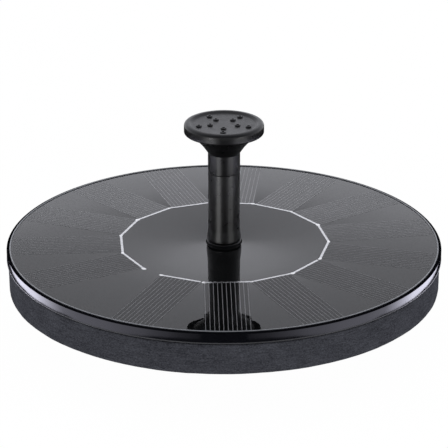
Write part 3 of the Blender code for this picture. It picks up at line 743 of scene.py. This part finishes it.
def ribbon():
    """Ring of straight ribbon lengths that lap at the corners, with a solder joint on each lap."""
    shape = bmesh.new()
    corners = [cell_angle(0) + (index - 0.5) * CELL_PITCH for index in range(CELL_COUNT + 1)]
    points = [Vector((math.cos(turn), math.sin(turn))) * RIBBON_RADIUS for turn in corners]
    width, setback, gap = 0.98 * MM, 0.1 * MM, 1.4 * MM
    for index in range(CELL_COUNT):
        run = (points[index + 1] - points[index]).normalized()
        short = gap if index in RIBBON_BREAKS else setback
        strip_between(shape, points[index] + run * setback, points[index + 1] - run * short,
                      width, BONDED - 0.1 * MM, BONDED + 0.05 * MM, 0.12)
    ring = piece_from(shape, "ribbon_ring", "ribbon")
    settle(ring, "root", "ribbon", "cell_ribbon")
    for index, angle in enumerate(corners):
        solder_joint(index, angle)


def solder_joint(index, angle):
    """A flattened bead of solder on one corner of the ribbon ring."""
    shape = bmesh.new()
    bmesh.ops.create_icosphere(shape, subdivisions=3, radius=1.0)
    size = 0.76 + 0.16 * math.sin(index * 2.4)
    height = 0.12 * MM
    bmesh.ops.scale(shape, vec=(size * 0.85 * MM, size * 1.15 * MM, height), verts=shape.verts)
    for vertex in shape.verts:
        lump = noise.noise(vertex.co / (0.5 * MM) + Vector((index * 7.0, 0, 0)))
        vertex.co.x *= 1 + 0.16 * lump
        vertex.co.y *= 1 + 0.16 * lump
    bmesh.ops.rotate(shape, verts=shape.verts, cent=(0, 0, 0), matrix=Matrix.Rotation(angle, 3, "Z"))
    place = (RIBBON_RADIUS * math.cos(angle), RIBBON_RADIUS * math.sin(angle), BONDED)
    bmesh.ops.translate(shape, verts=shape.verts, vec=place)
    settle(piece_from(shape, f"solder_joint_{index + 1:02d}", "solder"), "root", "ribbon")


# Float ring ------------------------------------------------------------------

def foam_ring():
    """Knife-cut foam ring: eased edges and a faint waviness on its cut faces."""
    low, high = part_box("float_ring")
    ease = 0.55 * MM
    wall_rows, around = 9, 360
    corners = filleted([
        (high.x, high.z, ease),
        (high.x, low.z, ease * 1.3),
        (FLOAT_HOLE, low.z, ease),
        (FLOAT_HOLE, high.z, ease),
    ], 4)
    profile = []
    for index, point in enumerate(corners):
        profile.append(point)
        following = corners[(index + 1) % len(corners)]
        if math.dist(point, following) > 5 * MM:
            for row in range(1, wall_rows):
                share = row / wall_rows
                profile.append((point[0] + (following[0] - point[0]) * share,
                                point[1] + (following[1] - point[1]) * share))
    shape = lathe_mesh(profile, around, True)
    shape.normal_update()
    for vertex in shape.verts:
        wave = noise.noise(vertex.co / (14 * MM)) * 0.10 + noise.noise(vertex.co / (2.5 * MM)) * 0.05
        vertex.co += vertex.normal * (wave - 0.12) * MM
    ring = piece_from(shape, "foam_float", "foam", 60.0)
    return settle(ring, "root", "float_foam", "float_ring")


# Fittings above the panel ----------------------------------------------------

def riser():
    """Extension tube with a socket at its foot and a neck inside the trumpet."""
    low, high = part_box("riser_tube")
    shoulder = bottom("nozzle_trumpet") - 0.12 * MM
    wall, neck, bore, socket = 5.8 * MM, 4.3 * MM, 3.1 * MM, 4.75 * MM
    spigot_top = top("pump_head")
    tube = lathe("riser_body", "fitting", [
        (neck, high.z, 0.3 * MM),
        (neck, shoulder, 0.15 * MM),
        (wall, shoulder, 0.12 * MM),
        (wall, low.z + 4.5 * MM, 6 * MM),
        (high.x, low.z + 1.2 * MM, 1.5 * MM),
        (high.x, low.z, 0.45 * MM),
        (socket, low.z, 0.3 * MM),
        (socket, spigot_top + 0.4 * MM),
        (bore, spigot_top + 2.0 * MM),
        (bore, high.z, 0.2 * MM),
    ])
    return settle(tube, "riser", "fitting_plastic", "riser_tube")


def trumpet():
    """Stem and cone with a rolled lip."""
    low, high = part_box("nozzle_trumpet")
    wall = 1.1 * MM
    stem, stem_top = 5.85 * MM, 66.9 * MM
    cone = lathe("trumpet_body", "fitting", [
        (high.x - wall - 0.2 * MM, high.z, 0.2 * MM),
        (high.x, high.z, 0.3 * MM),
        (high.x - 0.35 * MM, high.z - 1.1 * MM, 0.3 * MM),
        (7.9 * MM, stem_top + 2.95 * MM, 9 * MM),
        (stem, stem_top, 1.1 * MM),
        (stem, low.z, 0.12 * MM),
        (4.6 * MM, low.z, 0.2 * MM),
        (4.6 * MM, stem_top + 0.6 * MM, 0.8 * MM),
        (7.9 * MM - wall, stem_top + 3.4 * MM),
    ], segments=7)
    return settle(cone, "trumpet", "fitting_plastic", "nozzle_trumpet")


def spray_head():
    """Cap with a rounded rim, a shallow dish, and a raised collar round every jet hole."""
    low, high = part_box("spray_disc")
    edge = high.x
    roof = top("nozzle_trumpet") + 0.3 * MM
    dish = high.z - 0.75 * MM
    skirt = edge - 1.1 * MM
    cap = lathe("spray_head", "head", [
        (0.0, dish),
        (11.4 * MM, dish, 0.8 * MM),
        (12.5 * MM, high.z - 0.03 * MM, 0.5 * MM),
        (edge, high.z - 0.05 * MM, 1.25 * MM),
        (edge, low.z, 0.65 * MM),
        (skirt, low.z, 0.2 * MM),
        (skirt, roof, 0.2 * MM),
        (0.0, roof),
    ], 128, closed=False)
    collars, jets = [], []
    for radius in JET_RINGS:
        for index in range(JETS_PER_RING):
            turn = math.radians(268.0) + math.tau * index / JETS_PER_RING
            place = (radius * math.cos(turn), radius * math.sin(turn))
            collars.append(jet_collar(place, dish))
            jets.append(rod("jet", 0.55 * MM, roof - 1 * MM, high.z + 1 * MM, place, 20))
    for collar in collars:
        fuse(cap, collar)
    carve(cap, merged("jets", jets))
    keep_look(cap, "head")
    return settle(cap, "spray_head", "fitting_plastic", "spray_disc")


def jet_collar(place, dish):
    """A low conical collar."""
    collar = lathe("collar", None, [
        (0.0, dish + 0.5 * MM),
        (0.95 * MM, dish + 0.5 * MM, 0.15 * MM),
        (1.2 * MM, dish - 0.3 * MM),
        (0.0, dish - 0.3 * MM),
    ], 28, closed=False, segments=3)
    collar.data.transform(Matrix.Translation((place[0], place[1], 0.0)))
    return collar


# Pump ------------------------------------------------------------------------

def along_y(piece):
    """Turn a lathed piece so that its axis is the motor axis."""
    place = Matrix.Translation((MOTOR_AXIS.x, 0.0, MOTOR_AXIS.z))
    piece.data.transform(place @ Matrix.Rotation(-math.pi / 2, 4, "X"))
    return piece


def y_rod(name, radius, front, back, steps=48):
    return along_y(rod(name, radius, front, back, (0.0, 0.0), steps))


def body_slice(name, node, ease=0.6 * MM):
    """One slice of the pump's rounded square section, at a CAD node's place."""
    low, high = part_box(node)
    half = (top("rear_cap") - bottom("rear_cap")) / 2
    wide = (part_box("rear_cap")[1].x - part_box("rear_cap")[0].x) / 2
    return soft_block(name, "pump", (MOTOR_AXIS.x - wide, low.y, MOTOR_AXIS.z - half),
                      (MOTOR_AXIS.x + wide, high.y, MOTOR_AXIS.z + half), PUMP_CORNER, "Y", ease, 8)


def ear_bar(spots):
    """Screw lugs on both sides of the body, and the tools that cut their holes."""
    left, right = sorted(spots, key=lambda spot: spot.x)
    ear_top = bottom("deck_tray") - 0.3 * MM
    lug, hole_radius = 3 * MM, 1.5 * MM
    bar = soft_block("ear", None, (left.x - lug, left.y - lug, ear_top - 2.2 * MM),
                     (right.x + lug, left.y + lug, ear_top), 2.6 * MM, "Z", 0.3 * MM)
    holes = [rod("ear_hole", hole_radius, ear_top - 4 * MM, ear_top + 2 * MM, (spot.x, spot.y))
             for spot in (left, right)]
    return bar, holes


def pump_head():
    """Volute block, upright outlet with its collar, and the chamber."""
    box_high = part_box("pump_head")[1]
    front, back = -5.5 * MM, 5.5 * MM
    low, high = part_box("rear_cap")
    block = soft_block("volute_block", "pump", (low.x, front, low.z), (high.x, back, high.z),
                       PUMP_CORNER, "Y", 0.5 * MM, 8)
    collar_top = bottom("riser_tube") - 0.3 * MM
    outlet = lathe("outlet", None, [
        (0.0, box_high.z),
        (4.45 * MM, box_high.z, 0.6 * MM),
        (4.45 * MM, collar_top, 0.2 * MM),
        (box_high.y, collar_top, 0.25 * MM),
        (box_high.y, high.z + 1.0 * MM, 0.3 * MM),
        (5.1 * MM, high.z - 0.2 * MM),
        (5.1 * MM, high.z - 2.0 * MM),
        (0.0, high.z - 2.0 * MM),
    ], 96, closed=False)
    fuse(block, outlet)
    bar, holes = ear_bar(spot for spot in SCREWS if spot.y < 10 * MM)
    fuse(block, bar)
    carve(block, y_rod("chamber", 10.2 * MM, front - 1 * MM, 3.2 * MM))
    carve(block, y_rod("rotor_way", 5.9 * MM, 0.0, back + 1 * MM))
    groove = along_y(lathe("groove", None, [
        (12.3 * MM, front + 1.3 * MM), (12.3 * MM, front - 1 * MM),
        (10.8 * MM, front - 1 * MM), (10.8 * MM, front + 1.3 * MM)], 64))
    carve(block, groove)
    carve(block, rod("bore", 3.1 * MM, MOTOR_AXIS.z + 2 * MM, box_high.z + 1 * MM, steps=48))
    carve(block, merged("ear_holes", holes))
    keep_look(block, "pump")
    block.data.materials.append(LOOKS["fitting"])
    for face in block.data.polygons:
        if face.center.z > TRAY_BOTTOM:
            face.material_index = 1
    return settle(block, "root", "pump_plastic", "pump_head")


def motor_housing():
    """Motor block with its ears and the round space for the stator."""
    block = body_slice("motor_block", "motor_housing")
    bar, holes = ear_bar(spot for spot in SCREWS if spot.y > 10 * MM)
    fuse(block, bar)
    carve(block, merged("ear_holes", holes))
    low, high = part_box("motor_housing")
    carve(block, y_rod("stator_way", 12.4 * MM, low.y - 1 * MM, high.y + 1 * MM, 64))
    keep_look(block, "pump")
    return settle(block, "root", "pump_plastic", "motor_housing")


def rear_cap():
    """Cap with a shallow recess and two lead entries."""
    cap = body_slice("motor_cap", "rear_cap", ease=0.4 * MM)
    low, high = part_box("rear_cap")
    recess = soft_block("recess", None, (low.x + 3 * MM, high.y - 0.5 * MM, low.z + 3 * MM),
                        (high.x - 3 * MM, high.y + 1 * MM, high.z - 3 * MM), 3 * MM, "Y")
    carve(cap, recess)
    for node in ("lead_red", "lead_black"):
        lead_low, lead_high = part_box(node)
        entry = rod("entry", 0.9 * MM, low.y - 1 * MM, high.y + 1 * MM, steps=24)
        entry.data.transform(Matrix.Translation(((lead_low.x + lead_high.x) / 2, 0, lead_low.z + 0.6 * MM))
                             @ Matrix.Rotation(-math.pi / 2, 4, "X"))
        carve(cap, entry)
    keep_look(cap, "pump")
    return settle(cap, "root", "pump_plastic", "rear_cap")


def filter_cover():
    """Cup with upright slots in its front and its sides."""
    low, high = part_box("filter_cover")
    wall = 1.3 * MM
    front_reach, side_reach = 8.5 * MM, 7 * MM
    cup = body_slice("filter_cup", "filter_cover", ease=0.7 * MM)
    inside = soft_block("inside", None, (low.x + wall, low.y + wall, low.z + wall),
                        (high.x - wall, high.y + 2 * MM, high.z - wall), 3.7 * MM, "Y", 0.0, 8)
    carve(cup, inside)
    slots = []
    for index in range(6):
        x = MOTOR_AXIS.x + (index - 2.5) * 3.8 * MM
        slot_low = (x - 0.8 * MM, low.y - 1 * MM, MOTOR_AXIS.z - front_reach)
        slot_high = (x + 0.8 * MM, low.y + wall + 1 * MM, MOTOR_AXIS.z + front_reach)
        slots.append(soft_block("slot", None, slot_low, slot_high, 0.75 * MM, "Y", 0.0, 4))
    for index in range(3):
        y = low.y + 3.6 * MM + index * 3.2 * MM
        slot_low = (low.x - 5 * MM, y - 0.7 * MM, MOTOR_AXIS.z - side_reach)
        slot_high = (high.x + 5 * MM, y + 0.7 * MM, MOTOR_AXIS.z + side_reach)
        slots.append(soft_block("side_slot", None, slot_low, slot_high, 0.65 * MM, "X", 0.0, 4))
    carve(cup, merged("slots", slots))
    keep_look(cup, "pump")
    ease_edges(cup, 0.15 * MM)
    return settle(cup, "filter", "pump_plastic", "filter_cover")


def filter_sponge():
    """Open-cell block with a pitted skin and slack corners."""
    low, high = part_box("filter_sponge")
    shape = bmesh.new()
    bmesh.ops.create_cube(shape, size=1.0)
    bmesh.ops.scale(shape, vec=(high - low) - Vector((0.4, 0.4, 0.4)) * MM, verts=shape.verts)
    bmesh.ops.bevel(shape, geom=list(shape.edges), offset=2.2 * MM, segments=3, profile=0.5, affect="EDGES")
    bmesh.ops.triangulate(shape, faces=shape.faces)
    bmesh.ops.subdivide_edges(shape, edges=shape.edges, cuts=12, use_grid_fill=True)
    shape.normal_update()
    for vertex in shape.verts:
        pit = noise.cell(vertex.co / (0.9 * MM))
        swell = noise.noise(vertex.co / (6 * MM))
        vertex.co += vertex.normal * (0.12 * swell - 0.22 * pit) * MM
    bmesh.ops.translate(shape, vec=(low + high) / 2, verts=shape.verts)
    block = piece_from(shape, "sponge_block", "sponge", 80.0)
    return settle(block, "filter", "filter_sponge", "filter_sponge")


def screws():
    """Pan-head screws with a cross recess."""
    for index in range(1, 5):
        low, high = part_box(f"mount_screw_{index}")
        centre = (low + high) / 2
        shank, head = 1.2 * MM, high.x - centre.x
        under_head = low.z + 1.7 * MM
        screw = lathe(f"screw_{index}", "screw", [
            (0.0, high.z),
            (0.6 * MM, high.z - 0.2 * MM),
            (shank, high.z - 1.2 * MM),
            (shank, under_head, 0.1 * MM),
            (head, under_head, 0.15 * MM),
            (head, low.z + 0.7 * MM, 0.5 * MM),
            (1.5 * MM, low.z, 0.6 * MM),
            (0.0, low.z),
        ], 40, closed=False)
        for turn in (0.0, math.pi / 2):
            slot = soft_block("slot", None, (-1.5 * MM, -0.28 * MM, low.z - 1 * MM),
                              (1.5 * MM, 0.28 * MM, low.z + 0.8 * MM))
            slot.data.transform(Matrix.Rotation(turn + 0.4 * index, 4, "Z"))
            carve(screw, slot)
        screw.data.transform(Matrix.Translation((centre.x, centre.y, 0.0)))
        keep_look(screw, "screw")
        settle(screw, "root", "screw_steel", f"mount_screw_{index}")


# Stage -----------------------------------------------------------------------

def camera():
    """Long lens, 22 degrees above the horizon, aimed just above the panel's centre."""
    distance, elevation = 768 * MM, math.radians(22.27)
    target = Vector((0.0, 0.0, PANEL_TOP + 6.58 * MM))
    lens = bpy.data.cameras.new("camera")
    lens.lens = 167.7
    lens.sensor_width = 36.0
    lens.clip_start = 0.01
    lens.clip_end = 50.0
    eye = bpy.data.objects.new("camera", lens)
    eye.location = target + Vector((0.0, -math.cos(elevation), math.sin(elevation))) * distance
    eye.rotation_euler = (math.pi / 2 - elevation, 0.0, 0.0)
    bpy.context.scene.collection.objects.link(eye)
    bpy.context.scene.camera = eye


def softbox(name, azimuth, elevation, size, radiance):
    """Upright area light that only the fittings see, at angles round and up from the camera's side."""
    turn, lift, distance = math.radians(azimuth), math.radians(elevation), 600 * MM
    target = Vector((0.0, 0.0, PANEL_TOP + 20 * MM))
    aim = Vector((math.sin(turn) * math.cos(lift), -math.cos(turn) * math.cos(lift), math.sin(lift)))
    light = bpy.data.lights.new(name, "AREA")
    light.shape = "RECTANGLE"
    light.size, light.size_y = size
    light.energy = radiance * math.pi * size[0] * size[1]
    lamp = bpy.data.objects.new(name, light)
    lamp.location = target + aim * distance
    lamp.rotation_euler = aim.to_track_quat("Z", "Y").to_euler()
    lamp.visible_camera = False
    lamp.visible_diffuse = False
    lamp.light_linking.receiver_collection = FITTINGS
    lamp.light_linking.blocker_collection = FITTINGS
    bpy.context.scene.collection.objects.link(lamp)


def studio_card(name, corners, faces, glows):
    """A reflector or black flag that only mirror-like surfaces see.

    Corners are in millimetres, and glows are stops of (y in millimetres, radiance).
    """
    brightest = 10.0
    made = Recipe(name)
    made.tree.nodes.remove(made.shader)
    shine = made.add("ShaderNodeEmission")
    shine.inputs["Color"].default_value = (0.85, 0.845, 1.0, 1.0)
    split = made.add("ShaderNodeSeparateXYZ")
    made.link(made.coordinates(), split.inputs["Vector"])
    low, high = glows[0][0], glows[-1][0]
    strength = made.add("ShaderNodeValToRGB")
    ramp = strength.color_ramp
    while len(ramp.elements) < len(glows):
        ramp.elements.new(0.5)
    for stop, (y, glow) in zip(ramp.elements, glows):
        stop.position = (y - low) / (high - low)
        share = glow / brightest
        stop.color = (share, share, share, 1.0)
    made.link(made.remap(split.outputs["Y"], low * MM, high * MM, 0.0, 1.0), strength.inputs["Fac"])
    scale = made.add("ShaderNodeMath", operation="MULTIPLY")
    scale.inputs[1].default_value = brightest
    made.link(strength.outputs["Color"], scale.inputs[0])
    made.link(scale.outputs["Value"], shine.inputs["Strength"])
    made.link(shine.outputs["Emission"], made.output.inputs["Surface"])
    mesh = bpy.data.meshes.new(name)
    mesh.from_pydata([[value * MM for value in corner] for corner in corners], [], faces)
    mesh.materials.append(made.material)
    card = bpy.data.objects.new(name, mesh)
    bpy.context.scene.collection.objects.link(card)
    card.visible_camera = False
    card.visible_diffuse = False
    card.visible_shadow = False
    card.visible_transmission = False


def rim_strip(side):
    """Low bright strip beside the panel, under its level, that the glossy rim mirrors."""
    path = [(24, -156, 1, 27), (46, -150, 1, 27), (66, -136, 1, 27), (84, -112, 1, 27),
            (93, -85, 4, 27), (97, -60, 11.5, 27), (99, -38, 13.4, 27), (101, -14, 13.6, 27),
            (103, 5, 11.6, 26), (106, 30, 8, 24), (110, 62, 2, 20)]
    corners = []
    for x, y, low, high in path:
        corners += [(x * side, y, low), (x * side, y, high)]
    faces = [(2 * i, 2 * i + 1, 2 * i + 3, 2 * i + 2) for i in range(len(path) - 1)]
    glows = [(-156, 0.15), (-146, 0.6), (-125, 1.4), (-95, 1.9), (-72, 1.9), (-57, 2.2), (-44, 5.0),
             (-30, 7.5), (-12, 5.6), (6, 3.2), (30, 1.9), (62, 1.2)]
    studio_card(f"rim_strip_{side}", corners, faces, glows)


def floor_flag():
    """Black ring laid round the object, so that the glossy rim stays black where no strip stands."""
    steps = 48
    inner, outer, height = 60.0, 420.0, 0.5
    corners = []
    for radius in (inner, outer):
        for i in range(steps):
            turn = math.tau * i / steps
            corners.append((radius * math.cos(turn), radius * math.sin(turn), height))
    faces = [(i, (i + 1) % steps, steps + (i + 1) % steps, steps + i) for i in range(steps)]
    studio_card("floor_flag", corners, faces, [(-outer, 0.0), (outer, 0.0)])


def surround():
    """White surround, brighter near the horizon and behind the object, and dim behind the camera."""
    world = bpy.data.worlds.new("surround")
    world.use_nodes = True
    tree = world.node_tree
    back = tree.nodes["Background"]
    back.inputs["Color"].default_value = (0.955, 0.965, 1.03, 1.0)
    place = tree.nodes.new("ShaderNodeTexCoord")
    split = tree.nodes.new("ShaderNodeSeparateXYZ")
    tree.links.new(place.outputs["Generated"], split.inputs["Vector"])
    both = tree.nodes.new("ShaderNodeMath")
    both.operation = "MULTIPLY"
    tree.links.new(map_range(tree, split.outputs["Z"], 0.34, 0.40, 1.12, 0.87), both.inputs[0])
    tree.links.new(map_range(tree, split.outputs["Y"], -0.50, 0.30, 0.28, 1.0), both.inputs[1])
    tree.links.new(both.outputs["Value"], back.inputs["Strength"])
    bpy.context.scene.world = world


def studio():
    """Pale glowing floor, a softbox on each side, and cards for the glossy rim."""
    surround()
    surface = Recipe("pale_floor").set(Roughness=1.0, Specular_IOR_Level=0.0, Emission_Strength=0.985)
    surface.colour(surface.noise(0.4, 2.0), (0.02, 0.02, 0.02), (0.03, 0.03, 0.03))
    surface.shader.inputs["Emission Color"].default_value = (1.0, 1.0, 1.0, 1.0)
    open_below = surface.add("ShaderNodeMixShader")
    surface.link(surface.add("ShaderNodeNewGeometry").outputs["Backfacing"], open_below.inputs["Fac"])
    surface.link(surface.shader.outputs["BSDF"], open_below.inputs[1])
    surface.link(surface.add("ShaderNodeBsdfTransparent").outputs["BSDF"], open_below.inputs[2])
    surface.link(open_below.outputs["Shader"], surface.output.inputs["Surface"])
    bpy.ops.mesh.primitive_circle_add(vertices=96, radius=6.0, fill_type="NGON")
    floor = bpy.context.object
    floor.name = "floor"
    floor.location.z = -0.02 * MM
    floor.data.materials.append(surface.material)
    floor_flag()
    for side in (-1, 1):
        rim_strip(side)
    softbox("softbox_left", -39.0, -16.0, (0.11, 0.24), 16.0)
    softbox("softbox_right", 49.0, -16.0, (0.09, 0.24), 16.0)
    view = bpy.context.scene.view_settings
    view.view_transform = "Standard"
    view.look = "None"


def main():
    camera()
    studio()
    dress_cad_nodes()
    tray()
    cover()
    cover_edge()
    backsheet()
    wafers()
    fingers()
    ribbon()
    foam_ring()
    riser()
    trumpet()
    spray_head()
    pump_head()
    motor_housing()
    rear_cap()
    filter_cover()
    filter_sponge()
    screws()


main()
